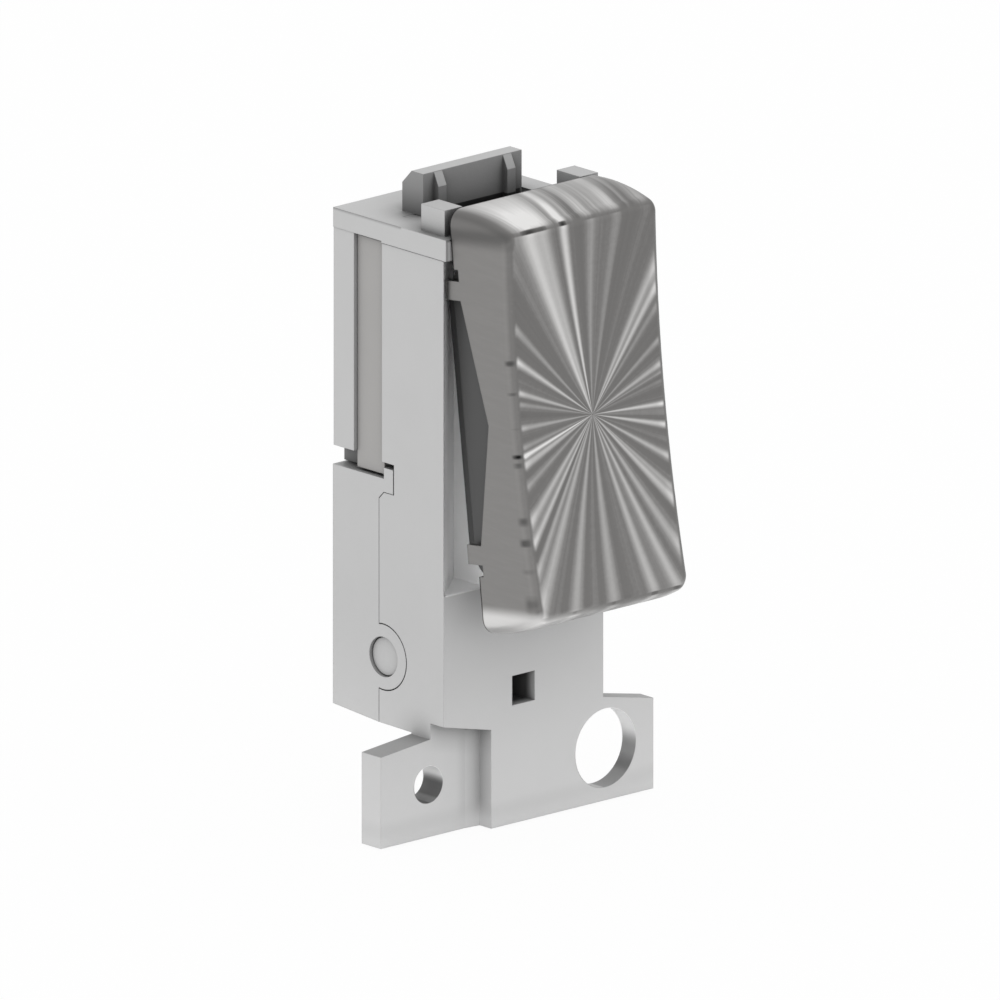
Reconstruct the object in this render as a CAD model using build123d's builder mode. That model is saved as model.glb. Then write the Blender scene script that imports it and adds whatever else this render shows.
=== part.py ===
import os
from math import cos, radians, sin, sqrt

from build123d import *

os.makedirs("parts", exist_ok=True)

# Single-width grid switch module, millimetres.
# X runs right, Y runs back into the wall and Z runs up.
# The origin is the centre of the small fixing hole, on the front face of its lug.
# A depth is measured back from the body's front face, a height from the fixing line.

# Body
module_pitch = 18.5
body_width = 18.0
front_depth = 7.97
window_front = 7.65
cover_depth = 13.6
lower_cover_depth = 13.7
skin = 1.63
side_wall = 1.2
floor_wall = 1.2
seam = 0.05

body_top = 47.5
band_height = 1.9
band_proud = 0.33
band_side_proud = 0.06
ledge = 16.6
bottom_front = 3.95
bottom_parting = 4.06
bottom_rear = 4.5

# Lower plate with its two lugs
lug_thickness = 2.37
left_lug_reach = 14.6
right_lug_reach = 14.65
lug_bottom = -4.55
left_lug_tip_top = 3.36
left_lug_root_top = 3.88
right_lug_tip_top = 3.3
right_lug_root_top = 4.45
skin_left = 3.64
skin_left_bottom = 4.0
skin_corner_bottom = 5.24
lug_overlap = 3.0
root_ramp_length = 1.5
root_ramp_rise = 0.2
fixing_hole_r = 1.6
boss_hole_r = 3.4

# Pocket in the lower front
pocket_size = 2.55
pocket_height = 6.95
pocket_depth = 4.0
pocket_wall = 0.8

# Tower between the two wells behind the rocker
tower_width = 9.0
tower_wall = 1.2
well_depth = 3.72
ear_r = 2.2
ear_root = 8.0
trunnion_r = 1.2
trunnion_length = 1.8
plunger_window = 10.0

# Rocker
pivot_depth = -2.4
pivot_height = (ledge + body_top) / 2
tilt = 7.0
rocker_width = 17.3
face_distance = 6.15
face_radius = 155.0
end_centre = 1.84
end_radius = 16.26
corner_r = 1.4
face_edge_r = 0.9
cap_thickness = 0.5
tab_centre = 11.25
tab_width = 1.65
tab_length = 1.2
relief_width = 1.0
relief_depth = 0.55
notch_depth = 2.77

# Rocker carrier
carrier_side_gap = 0.35
carrier_gap = 0.04
carrier_wall = 1.2
carrier_rim = 1.9
carrier_rim_step = 0.7
carrier_rim_inset = 0.6
carrier_flank = 13.3
carrier_flank_r = 2.4
cheek_thickness = 1.4
cheek_gap = 0.3
bearing_gap = 0.05
boss_r = 2.5
boss_reach = 3.6

# Plunger and its spring
plunger_r = 1.5
plunger_gap = 0.08
plunger_tip_r = 1.0
plunger_tip_gap = 0.1
plunger_tail = -0.5
spring_seat = -4.1
spring_wire = 0.36
spring_turns = 5

# Contact lever, a shallow V that rocks on a saddle
lever_swing = 8.0
lever_bead_r = 0.35
lever_thickness = 0.8
lever_width = 4.0
lever_reach = 8.3
contact_reach = 7.5
contact_r = 1.2
moving_contact = 0.5
fixed_contact = 0.6
contact_gap = 0.15

# Stamped strips and the block that carries them
strip_thickness = 0.8
terminal_cheek = 0.5
saddle_gap = 0.1
saddle_height = 2.4
saddle_ear = 0.6
saddle_ear_gap = 0.3
block_width = 17.28
block_flank = 1.5
block_rear = 10.6
block_base = 1.0
block_drop = 1.4
block_rib = 0.8

# Terminals, in line across the bottom
terminal_side_gap = 0.2
terminal_rib_gap = 0.15
terminal_length = 5.0
terminal_rear_gap = 0.1
terminal_bottom = 9.5
terminal_top = 17.0
wire_drop = 3.7
wire_r = 1.5
strip_slot_depth = 1.2
slot_gap = 0.03
screw_r = 1.25
screw_head_r = 1.8
screw_head_height = 1.7
driver_slot_width = 0.6
driver_slot_depth = 0.7
screw_access_gap = 0.3

# Rear covers
cover_wall = 1.4
lower_cover_top = 25.24
groove_height = 1.66
upper_cover_front = 11.1
window_cap = 0.2
tongue_gap = 0.16
tongue_overlap = 1.6
wire_entry_gap = 0.35
wire_entry_chamfer = 0.35
cover_rib = 0.6
tab_front = 6.27
tab_rear = 7.4
tab_drop = 1.14
tab_rise = 0.96
tab_slant = 0.6
tab_clearance = 0.12
tab_head_room = 0.47
lobe_wall = 1.15
lobe_gap = 0.1
lobe_depth = 7.46
lobe_height = 9.8
pin_r = 1.65
pin_hole_gap = 0.08
pin_recess = 0.3
pin_ear_wall = 0.85
pin_ear = 0.7

# Hook, slot and corner blocks on top
hook_width = 11.1
hook_front = 6.3
hook_rear = 8.9
hook_top = 51.2
hook_top_thickness = 1.45
hook_chamfer_height = 1.2
hook_rib = 0.92
hook_rib_inset = 1.2
hook_rib_proud = 0.56
hook_rib_slope = 1.2
slot_width = 13.4
slot_front = 4.6
slot_rear = 7.5
block_front = 0.65
block_back = 3.55
corner_block = 2.0
corner_block_top = 49.75
left_block_inset = 0.7

# Derived values
mid_x = module_pitch / 2
half_width = body_width / 2
inner_half = half_width - side_wall
housing_top = body_top - band_height
tower_half = tower_width / 2
hollow_half = tower_half - tower_wall
well_slope = well_depth / (half_width - tower_half)
well_wall = side_wall * sqrt(1 + well_slope**2)
well_back = well_depth + floor_wall
cover_inner = cover_depth - cover_wall
rocker_half = rocker_width / 2
carrier_half = rocker_half - cap_thickness - carrier_side_gap
upper_cover_bottom = lower_cover_top + groove_height
window_top = housing_top + window_cap
tongue_bottom = lower_cover_top + tongue_gap
tongue_top = upper_cover_bottom + tongue_overlap
tab_low = lower_cover_top - tab_drop
tab_high = lower_cover_top + tab_rise
block_top = housing_top
block_bottom = upper_cover_bottom - block_drop
flank_front = window_front + seam
flank_rear = upper_cover_front - seam
lobe_r = pin_r + lobe_wall
pin_ear_r = pin_r + pin_ear_wall
strip_front = block_rear - block_base - strip_thickness
lever_depth = strip_front - fixed_contact - contact_gap - moving_contact
crease_front = lever_depth - lever_thickness / cos(radians(lever_swing))
plunger_reach = (crease_front - pivot_depth - plunger_tip_gap) / cos(radians(tilt))
terminal_rear = cover_inner - terminal_rear_gap
terminal_middle = terminal_rear - terminal_length / 2
terminal_room = 2 * (inner_half - pin_ear - terminal_side_gap)
terminal_split = cover_rib + 2 * terminal_rib_gap
terminal_width = (terminal_room - 2 * terminal_split) / 3
terminal_pitch = terminal_width + terminal_split
terminal_places = [-terminal_pitch, 0, terminal_pitch]
strip_width = terminal_width - 2 * terminal_cheek
wire_height = terminal_top - wire_drop
wire_entry_r = wire_r + wire_entry_gap
screw_head_bottom = bottom_rear + floor_wall


def front_at(depth):
    return Plane(origin=(mid_x, depth - skin, 0), x_dir=(1, 0, 0), z_dir=(0, -1, 0))


def side_at(x):
    return Plane(origin=(mid_x + x, -skin, 0), x_dir=(0, 1, 0), z_dir=(1, 0, 0))


def level_at(height):
    return Plane(origin=(mid_x, -skin, height), x_dir=(1, 0, 0), z_dir=(0, 0, 1))


# Planes that turn about a hinge: first coordinate back, second up along the piece
def turned_side(depth, height, angle, x=0.0):
    back = (0, cos(radians(angle)), -sin(radians(angle)))
    origin = (mid_x + x, depth - skin, height)
    return Plane(origin=origin, x_dir=back, z_dir=(1, 0, 0))


def rocker_side(x=0.0):
    return turned_side(pivot_depth, pivot_height, tilt, x)


def lever_side(x=0.0):
    return turned_side(lever_depth, pivot_height, -lever_swing, x)


def rocker_front(back=0.0):
    back_y = cos(radians(tilt))
    back_z = -sin(radians(tilt))
    origin = (mid_x, pivot_depth - skin + back * back_y, pivot_height + back * back_z)
    return Plane(origin=origin, x_dir=(1, 0, 0), z_dir=(0, -back_y, -back_z))


# Front housing: shell, wells, tower with its bearing ears, lower plate and lugs
with BuildPart() as front_housing:
    with BuildSketch(level_at(ledge)):
        with BuildLine():
            Polyline(
                (0, 0),
                (tower_half, 0),
                (tower_half, well_depth),
                (half_width, 0),
                (half_width, window_front),
                (0, window_front),
            )
            mirror(about=Plane.YZ)
        make_face()
    extrude(amount=housing_top - ledge)
    with BuildSketch(side_at(0)):
        with BuildLine():
            Polyline(
                (skin, bottom_front),
                (front_depth, bottom_parting),
                (front_depth, tab_high + tab_head_room),
                (window_front, tab_high + tab_head_room),
                (well_back, tab_high + tab_head_room),
                (well_back, ledge),
                (skin, ledge),
                close=True,
            )
        make_face()
    extrude(amount=half_width, both=True)
    with BuildSketch(front_at(0)):
        with BuildLine():
            Polyline(
                (-half_width, ledge),
                (half_width, ledge),
                (half_width, right_lug_root_top),
                (right_lug_reach, right_lug_tip_top),
                (right_lug_reach, lug_bottom),
                (-skin_left, lug_bottom),
                (-skin_left, skin_left_bottom),
                (-half_width, skin_corner_bottom),
                close=True,
            )
        make_face()
    extrude(amount=-skin)
    with BuildSketch(front_at(skin)):
        with BuildLine():
            Polyline(
                (-left_lug_reach, lug_bottom),
                (-left_lug_reach, left_lug_tip_top),
                (-half_width, left_lug_root_top),
                (-half_width, bottom_front + floor_wall),
                (lug_overlap, bottom_front + floor_wall),
                (lug_overlap, lug_bottom),
                close=True,
            )
        make_face()
    extrude(amount=-lug_thickness)
    # shallow ramp where the lug meets the edge of the front skin
    with BuildSketch(level_at(lug_bottom)):
        with BuildLine():
            Polyline(
                (-skin_left, skin),
                (-skin_left - root_ramp_length, skin),
                (-skin_left, skin - root_ramp_rise),
                close=True,
            )
        make_face()
    extrude(amount=skin_left_bottom - lug_bottom)
    # inside of the upper half, up to the tower's hollow
    with BuildSketch(level_at(ledge - floor_wall)):
        with BuildLine():
            Polyline(
                (0, tower_wall),
                (hollow_half, tower_wall),
                (hollow_half, well_back),
                (half_width - (well_back - well_wall) / well_slope, well_back),
                (inner_half, side_wall * well_slope + well_wall),
                (inner_half, front_depth),
                (0, front_depth),
            )
            mirror(about=Plane.YZ)
        make_face()
    extrude(amount=housing_top - ledge + floor_wall, mode=Mode.SUBTRACT)
    # inside of the lower half
    with BuildSketch(side_at(0)):
        with BuildLine():
            Polyline(
                (skin, bottom_front + floor_wall),
                (front_depth, bottom_parting + floor_wall),
                (front_depth, ledge - floor_wall),
                (skin, ledge - floor_wall),
                close=True,
            )
        make_face()
    extrude(amount=inner_half, both=True, mode=Mode.SUBTRACT)
    # walls round the square pocket
    pocket_outer = pocket_size + 2 * pocket_wall
    with BuildSketch(front_at(0)):
        with Locations((0, pocket_height)):
            Rectangle(pocket_outer, pocket_outer)
    extrude(amount=-pocket_depth - pocket_wall)
    with BuildSketch(front_at(0)):
        with Locations((0, pocket_height)):
            Rectangle(pocket_size, pocket_size)
    extrude(amount=-pocket_depth, mode=Mode.SUBTRACT)
    # window in the tower for the plunger
    with BuildSketch(front_at(0)):
        with Locations((0, pivot_height)):
            Rectangle(2 * hollow_half, plunger_window)
    extrude(amount=-tower_wall, mode=Mode.SUBTRACT)
    # bearing ears in front of the tower, each with a trunnion facing outwards
    for hand in (-1, 1):
        with BuildSketch(side_at(hand * hollow_half)):
            with Locations((pivot_depth, pivot_height)):
                Circle(ear_r)
            with Locations((tower_wall / 2, pivot_height)):
                Rectangle(tower_wall, ear_root)
            make_hull()
        extrude(amount=hand * tower_wall)
        with BuildSketch(side_at(hand * tower_half)):
            with Locations((pivot_depth, pivot_height)):
                Circle(trunnion_r)
        extrude(amount=hand * trunnion_length)
        # inner ear for the cover pin
        with BuildSketch(side_at(hand * inner_half)):
            with Locations((lobe_depth, lobe_height)):
                Circle(pin_ear_r)
            with Locations((skin + pin_ear_r / 2, lobe_height)):
                Rectangle(pin_ear_r, 2 * pin_ear_r)
            make_hull()
        extrude(amount=-hand * pin_ear)
        # clearance in the side wall for the lobe and the hooked tab of the lower cover
        with BuildSketch(side_at(hand * inner_half)):
            with Locations((lobe_depth, lobe_height)):
                Circle(lobe_r + lobe_gap)
            with BuildLine():
                Polyline(
                    (front_depth, tab_low - tab_slant - seam),
                    (front_depth - tab_slant, tab_low - seam),
                    (tab_front - tab_clearance, tab_low - seam),
                    (tab_front - tab_clearance, tab_high + tab_head_room),
                    (front_depth, tab_high + tab_head_room),
                    close=True,
                )
            make_face()
        extrude(amount=hand * side_wall, mode=Mode.SUBTRACT)
        with BuildSketch(side_at(hand * (inner_half - pin_ear))):
            with Locations((lobe_depth, lobe_height)):
                Circle(pin_r)
        extrude(amount=hand * pin_ear, mode=Mode.SUBTRACT)
    # fixing hole in the left lug and the plate-boss hole in the right lug
    with BuildSketch(front_at(skin)):
        with Locations((-mid_x, 0)):
            Circle(fixing_hole_r)
    extrude(amount=-lug_thickness, mode=Mode.SUBTRACT)
    with BuildSketch(front_at(0)):
        with Locations((mid_x, 0)):
            Circle(boss_hole_r)
    extrude(amount=-skin, mode=Mode.SUBTRACT)

# Upper rear cover: top band, rear wall, hook, corner blocks and the slot
with BuildPart() as rear_top_cover:
    with BuildSketch(side_at(0)):
        with BuildLine():
            Polyline(
                (-band_proud, housing_top + seam),
                (window_front, housing_top + seam),
                (window_front, window_top),
                (cover_inner, window_top),
                (cover_inner, upper_cover_bottom),
                (cover_depth, upper_cover_bottom),
                (cover_depth, body_top),
                (-band_proud, body_top),
                close=True,
            )
        make_face()
    extrude(amount=half_width + band_side_proud, both=True)
    with BuildSketch(level_at(upper_cover_bottom)):
        for hand in (-1, 1):
            column_x = hand * (half_width - side_wall / 2)
            with Locations((column_x, (upper_cover_front + cover_depth) / 2)):
                Rectangle(side_wall, cover_depth - upper_cover_front)
    extrude(amount=window_top - upper_cover_bottom)
    # rear wall and columns stay flush with the body, only the band stands proud
    with BuildSketch(level_at(upper_cover_bottom)):
        for hand in (-1, 1):
            with Locations((hand * (half_width + side_wall / 2), cover_depth - cover_wall / 2)):
                Rectangle(side_wall, 2 * cover_wall)
    extrude(amount=window_top - upper_cover_bottom, mode=Mode.SUBTRACT)
    # tongue that closes the groove above the lower cover
    with BuildSketch(side_at(0)):
        with Locations(((upper_cover_front + cover_depth) / 2, (tongue_bottom + tongue_top) / 2)):
            Rectangle(cover_depth - upper_cover_front, tongue_top - tongue_bottom)
    extrude(amount=inner_half, both=True)
    # slot in front of the hook
    with BuildSketch(level_at(body_top)):
        with Locations((0, (slot_front + slot_rear) / 2)):
            Rectangle(slot_width, slot_rear - slot_front)
    extrude(amount=-band_height, mode=Mode.SUBTRACT)
    # hook plate with its sloped back and two ribs, over the rear of the slot
    hook_slope_foot = hook_top - hook_chamfer_height
    with BuildSketch(side_at(0)):
        with BuildLine():
            Polyline(
                (hook_front, body_top),
                (hook_front, hook_top),
                (hook_front + hook_top_thickness, hook_top),
                (hook_rear, hook_slope_foot),
                (hook_rear, housing_top + seam),
                (slot_rear, housing_top + seam),
                (slot_rear, body_top),
                close=True,
            )
        make_face()
    extrude(amount=hook_width / 2, both=True)
    for hand in (-1, 1):
        rib_x = hand * (hook_width / 2 - hook_rib_inset - hook_rib / 2)
        with BuildSketch(side_at(rib_x)):
            with BuildLine():
                Polyline(
                    (hook_front, hook_top - seam),
                    (hook_front - hook_rib_proud, hook_top - hook_rib_slope),
                    (hook_front - hook_rib_proud, body_top),
                    (hook_front, body_top),
                    close=True,
                )
            make_face()
        extrude(amount=hook_rib / 2, both=True)
    # corner blocks that stop the rocker's upper end
    left_block = -half_width + left_block_inset + corner_block / 2
    right_block = half_width - corner_block / 2
    with BuildSketch(level_at(body_top)):
        for block_x in (left_block, right_block):
            with Locations((block_x, (block_front + block_back) / 2)):
                Rectangle(corner_block, block_back - block_front)
    extrude(amount=corner_block_top - body_top)

# Lower rear cover: box over the terminals, hooked at the top and pinned low down
with BuildPart() as rear_bottom_cover:
    with BuildSketch(side_at(0)):
        with BuildLine():
            Polyline(
                (front_depth + seam, bottom_parting),
                (lower_cover_depth, bottom_rear),
                (lower_cover_depth, lower_cover_top),
                (front_depth + seam, lower_cover_top),
                close=True,
            )
        make_face()
    extrude(amount=half_width, both=True)
    with BuildSketch(side_at(0)):
        with BuildLine():
            Polyline(
                (front_depth + seam, bottom_parting + floor_wall),
                (cover_inner, bottom_rear + floor_wall),
                (cover_inner, lower_cover_top - floor_wall),
                (block_rear, lower_cover_top - floor_wall),
                (block_rear, lower_cover_top),
                (front_depth + seam, lower_cover_top),
                close=True,
            )
        make_face()
    extrude(amount=inner_half, both=True, mode=Mode.SUBTRACT)
    for hand in (-1, 1):
        with BuildSketch(side_at(hand * inner_half)):
            with Locations((lobe_depth, lobe_height)):
                Circle(lobe_r)
            with BuildLine():
                Polyline(
                    (front_depth + seam, tab_low - tab_slant),
                    (front_depth + seam - tab_slant, tab_low),
                    (tab_front, tab_low),
                    (tab_front, tab_high),
                    (tab_rear, tab_high),
                    (tab_rear, lower_cover_top),
                    (front_depth + seam, lower_cover_top),
                    close=True,
                )
            make_face()
        extrude(amount=hand * side_wall)
        with BuildSketch(side_at(hand * inner_half)):
            with Locations((lobe_depth, lobe_height)):
                Circle(pin_r + pin_hole_gap)
        extrude(amount=hand * side_wall, mode=Mode.SUBTRACT)
    # ribs between the terminals
    with BuildSketch(level_at(terminal_bottom)):
        for rib_x in (-terminal_pitch / 2, terminal_pitch / 2):
            with Locations((rib_x, (terminal_middle + cover_inner) / 2)):
                Rectangle(cover_rib, cover_inner - terminal_middle)
    extrude(amount=terminal_top - terminal_bottom)
    # shelf under the terminals, with a way up for each screw
    with BuildSketch(level_at(terminal_bottom)):
        with Locations((0, (front_depth + seam + cover_inner) / 2)):
            Rectangle(2 * (inner_half - pin_ear - lobe_gap), cover_inner - front_depth - seam)
    extrude(amount=-floor_wall)
    with BuildSketch(level_at(terminal_bottom)):
        with Locations(*[(x, terminal_middle) for x in terminal_places]):
            Circle(screw_head_r + seam)
    extrude(amount=-floor_wall, mode=Mode.SUBTRACT)
    with BuildSketch(level_at(bottom_front)):
        with Locations(*[(x, terminal_middle) for x in terminal_places]):
            Circle(screw_head_r + screw_access_gap)
    extrude(amount=2 * floor_wall, mode=Mode.SUBTRACT)
    # funnelled wire entries in the rear wall
    with BuildSketch(front_at(cover_inner)):
        with Locations(*[(x, wire_height) for x in terminal_places]):
            Circle(wire_entry_r)
    extrude(amount=-2 * cover_wall, mode=Mode.SUBTRACT)
    rims = rear_bottom_cover.edges().filter_by(GeomType.CIRCLE)
    wire_rims = rims.filter_by(lambda rim: abs(rim.radius - wire_entry_r) < seam)
    rear_rims = wire_rims.filter_by_position(Axis.Y, cover_depth - skin, cover_depth)
    chamfer(rear_rims, length=wire_entry_chamfer)

# Pins through the lobes of the lower cover into the housing's inner ears
with BuildPart() as cover_pins:
    for hand in (-1, 1):
        with BuildSketch(side_at(hand * (inner_half - pin_ear))):
            with Locations((lobe_depth, lobe_height)):
                Circle(pin_r - seam / 2)
        extrude(amount=hand * (pin_ear + side_wall - pin_recess))

# Contact block: the inner moulding whose flanks show in the side windows
with BuildPart() as contact_block:
    with BuildSketch(level_at(block_bottom)):
        with BuildLine():
            base_front = block_rear - block_base
            flank_inside = block_width / 2 - block_flank
            Polyline(
                (0, base_front),
                (flank_inside, base_front),
                (flank_inside, flank_front),
                (block_width / 2, flank_front),
                (block_width / 2, flank_rear),
                (flank_inside, flank_rear),
                (flank_inside, block_rear),
                (0, block_rear),
            )
            mirror(about=Plane.YZ)
        make_face()
    extrude(amount=block_top - block_bottom)
    with BuildSketch(level_at(block_top - floor_wall)):
        with Locations((0, (flank_front + block_rear) / 2)):
            Rectangle(block_width, block_rear - flank_front)
    extrude(amount=floor_wall)
    # posts that reach back to the upper cover
    with BuildSketch(front_at(block_rear)):
        middle = (block_top + tongue_top) / 2
        for hand in (-1, 1):
            with Locations((hand * (block_width / 2 - 2 * side_wall), middle)):
                Rectangle(block_rib, block_top - tongue_top - 2 * floor_wall)
    extrude(amount=-(cover_inner - block_rear - seam))

# Brass terminal blocks, each with a wire way, a strip slot and a screw way from below
terminals = []
for place in terminal_places:
    with BuildPart() as terminal:
        with BuildSketch(level_at(terminal_bottom)):
            with Locations((place, terminal_middle)):
                Rectangle(terminal_width, terminal_length)
        extrude(amount=terminal_top - terminal_bottom)
        with BuildSketch(front_at(terminal_rear)):
            with Locations((place, wire_height)):
                Circle(wire_r)
        extrude(amount=terminal_length, mode=Mode.SUBTRACT)
        with BuildSketch(level_at(terminal_bottom)):
            with Locations((place, terminal_middle)):
                Circle(screw_r + seam)
        extrude(amount=wire_height - terminal_bottom, mode=Mode.SUBTRACT)
        with BuildSketch(level_at(terminal_top)):
            with Locations((place, strip_front + strip_thickness / 2)):
                Rectangle(strip_width, strip_thickness + 2 * slot_gap)
        extrude(amount=-strip_slot_depth, mode=Mode.SUBTRACT)
    terminals.append(terminal)

# Clamp screws, backed out so that the wire ways are clear
with BuildPart() as terminal_screws:
    with BuildSketch(level_at(screw_head_bottom)):
        with Locations(*[(x, terminal_middle) for x in terminal_places]):
            Circle(screw_head_r)
    extrude(amount=screw_head_height)
    with BuildSketch(level_at(screw_head_bottom + screw_head_height)):
        with Locations(*[(x, terminal_middle) for x in terminal_places]):
            Circle(screw_r)
    extrude(amount=wire_height - wire_r - screw_head_bottom - screw_head_height)
    with BuildSketch(level_at(screw_head_bottom)):
        with Locations(*[(x, terminal_middle) for x in terminal_places]):
            Rectangle(2 * screw_head_r, driver_slot_width)
    extrude(amount=driver_slot_depth, mode=Mode.SUBTRACT)

# Stamped strips: common on the left, lower throw in the middle, upper throw on the right
strip_foot = terminal_top - strip_slot_depth + slot_gap
common_x, lower_x, upper_x = terminal_places
saddle_front = lever_depth + lever_bead_r + saddle_gap
saddle_half = lever_width / 2 + saddle_ear_gap
upper_contact_z = pivot_height + contact_reach
lower_contact_z = pivot_height - contact_reach

with BuildPart() as common_strip:
    with BuildSketch(front_at(strip_front)):
        with BuildLine():
            Polyline(
                (common_x - strip_width / 2 + slot_gap, strip_foot),
                (common_x - strip_width / 2 + slot_gap, pivot_height + strip_width / 2),
                (saddle_half + saddle_ear, pivot_height + strip_width / 2),
                (saddle_half + saddle_ear, pivot_height - strip_width / 2),
                (common_x + strip_width / 2 - slot_gap, pivot_height - strip_width / 2),
                (common_x + strip_width / 2 - slot_gap, strip_foot),
                close=True,
            )
        make_face()
    extrude(amount=-strip_thickness)
    # saddle that the lever rocks on, and the two ears that keep it central
    with BuildSketch(front_at(strip_front)):
        with Locations((0, pivot_height)):
            Rectangle(lever_width, saddle_height)
    extrude(amount=strip_front - saddle_front)
    with BuildSketch(front_at(strip_front)):
        for hand in (-1, 1):
            with Locations((hand * (saddle_half + saddle_ear / 2), pivot_height)):
                Rectangle(saddle_ear, saddle_height)
    extrude(amount=strip_front - lever_depth + lever_thickness + saddle_gap)

with BuildPart() as lower_throw_strip:
    with BuildSketch(front_at(strip_front)):
        with BuildLine():
            Polyline(
                (lower_x - strip_width / 2 + slot_gap, strip_foot),
                (lower_x - strip_width / 2 + slot_gap, lower_contact_z + strip_width / 2),
                (lower_x + strip_width / 2 - slot_gap, lower_contact_z + strip_width / 2),
                (lower_x + strip_width / 2 - slot_gap, strip_foot),
                close=True,
            )
        make_face()
    extrude(amount=-strip_thickness)

with BuildPart() as upper_throw_strip:
    with BuildSketch(front_at(strip_front)):
        with BuildLine():
            Polyline(
                (upper_x - strip_width / 2 + slot_gap, strip_foot),
                (upper_x - strip_width / 2 + slot_gap, upper_contact_z - strip_width / 2),
                (-strip_width / 2, upper_contact_z - strip_width / 2),
                (-strip_width / 2, upper_contact_z + strip_width / 2),
                (upper_x + strip_width / 2 - slot_gap, upper_contact_z + strip_width / 2),
                (upper_x + strip_width / 2 - slot_gap, strip_foot),
                close=True,
            )
        make_face()
    extrude(amount=-strip_thickness)

# Silver contacts on the two throw strips
fixed_contacts = []
for contact_z in (lower_contact_z, upper_contact_z):
    with BuildPart() as fixed:
        with BuildSketch(front_at(strip_front)):
            with Locations((0, contact_z)):
                Circle(contact_r)
        extrude(amount=fixed_contact)
    fixed_contacts.append(fixed)

# Contact lever: two arms that lean forward from the rocking edge
lean = radians(lever_swing)
arm_rise = lever_reach * cos(lean)
arm_lean = lever_reach * sin(lean)
with BuildPart() as contact_lever:
    with BuildSketch(lever_side()):
        with BuildLine():
            Polyline(
                (0, 0),
                (-arm_lean, arm_rise),
                (-arm_lean - lever_thickness / cos(lean), arm_rise),
                (-lever_thickness / cos(lean), 0),
                (-arm_lean - lever_thickness / cos(lean), -arm_rise),
                (-arm_lean, -arm_rise),
                close=True,
            )
        make_face()
    extrude(amount=lever_width / 2, both=True)
    # rolled bead on the rocking edge
    with BuildSketch(lever_side()):
        Circle(lever_bead_r)
    extrude(amount=lever_width / 2, both=True)

# Silver contacts under the ends of the lever
with BuildPart() as moving_contacts:
    for hand in (-1, 1):
        # the lower arm hangs straight down at rest, the upper one leans twice as far
        arm_angle = 0 if hand < 0 else -2 * lever_swing
        arm_plane = turned_side(lever_depth, pivot_height, arm_angle)
        seat = arm_plane.location * Pos(0, hand * contact_reach, 0)
        seat_plane = Plane(origin=seat.position, x_dir=(1, 0, 0), z_dir=arm_plane.x_dir)
        with BuildSketch(seat_plane):
            Circle(contact_r)
        extrude(amount=moving_contact)

# Rocker solids: one outline, inset for the cap's inside and for the carrier
def face_depth(inset):
    return -face_distance + inset


def outline_corner(inset):
    # where the hollow face meets the round end
    face_centre = face_depth(inset) - face_radius - inset
    r_face = face_radius + inset
    r_end = end_radius - inset
    reach = sqrt(face_centre**2 + end_centre**2)
    along = (r_face**2 - r_end**2 + reach**2) / (2 * reach)
    off = sqrt(r_face**2 - along**2)
    to_end = (-face_centre / reach, end_centre / reach)
    corner_v = face_centre + along * to_end[0] - off * to_end[1]
    corner_u = along * to_end[1] + off * to_end[0]
    return corner_v, corner_u


def rocker_block(side_inset, inset, corner, edge, rear):
    r_end = end_radius - inset
    corner_v, corner_u = outline_corner(inset)
    rear_u = end_centre + sqrt(r_end**2 - rear**2)
    mid_v = (corner_v + rear) / 2
    mid_u = end_centre + sqrt(r_end**2 - mid_v**2)
    with BuildPart() as block:
        with BuildSketch(rocker_side()):
            with BuildLine():
                ThreePointArc((rear, rear_u), (mid_v, mid_u), (corner_v, corner_u))
                ThreePointArc((corner_v, corner_u), (face_depth(inset), 0), (corner_v, -corner_u))
                ThreePointArc((corner_v, -corner_u), (mid_v, -mid_u), (rear, -rear_u))
                Line((rear, -rear_u), (rear, rear_u))
            make_face()
        extrude(amount=rocker_half - side_inset, both=True)
        ends = block.edges().filter_by(GeomType.CIRCLE)
        fillet(ends.filter_by(lambda e: abs(e.radius - r_end) < seam), radius=corner)
        front = block.faces().sort_by_distance(rocker_front(-2 * face_distance).origin)[0]
        fillet(front.edges(), radius=edge)
    return block.part


# Metal cap: thin shell with notched flanks and bent tabs
with BuildPart() as rocker_cap:
    add(rocker_block(0, 0, corner_r, face_edge_r, 0))
    inner_corner = corner_r - cap_thickness
    inner_edge = face_edge_r - cap_thickness
    inside = rocker_block(cap_thickness, cap_thickness, inner_corner, inner_edge, tab_length)
    add(inside, mode=Mode.SUBTRACT)
    tab_inner = tab_centre - tab_width / 2
    tab_outer = tab_centre + tab_width / 2
    with BuildSketch(rocker_side()):
        with BuildLine():
            Polyline(
                (tab_length, tab_inner),
                (-relief_depth, tab_inner),
                (-notch_depth, 0),
                (-relief_depth, -tab_inner),
                (tab_length, -tab_inner),
                close=True,
            )
        make_face()
        with Locations((0, tab_outer + relief_width / 2), (0, -tab_outer - relief_width / 2)):
            Rectangle(2 * relief_depth, relief_width)
    extrude(amount=rocker_half, both=True, mode=Mode.SUBTRACT)
    for hand in (-1, 1):
        with BuildSketch(rocker_side(hand * (rocker_half - cap_thickness))):
            with Locations((tab_length / 2, tab_centre), (tab_length / 2, -tab_centre)):
                Rectangle(tab_length, tab_width)
        extrude(amount=hand * cap_thickness)

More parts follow.
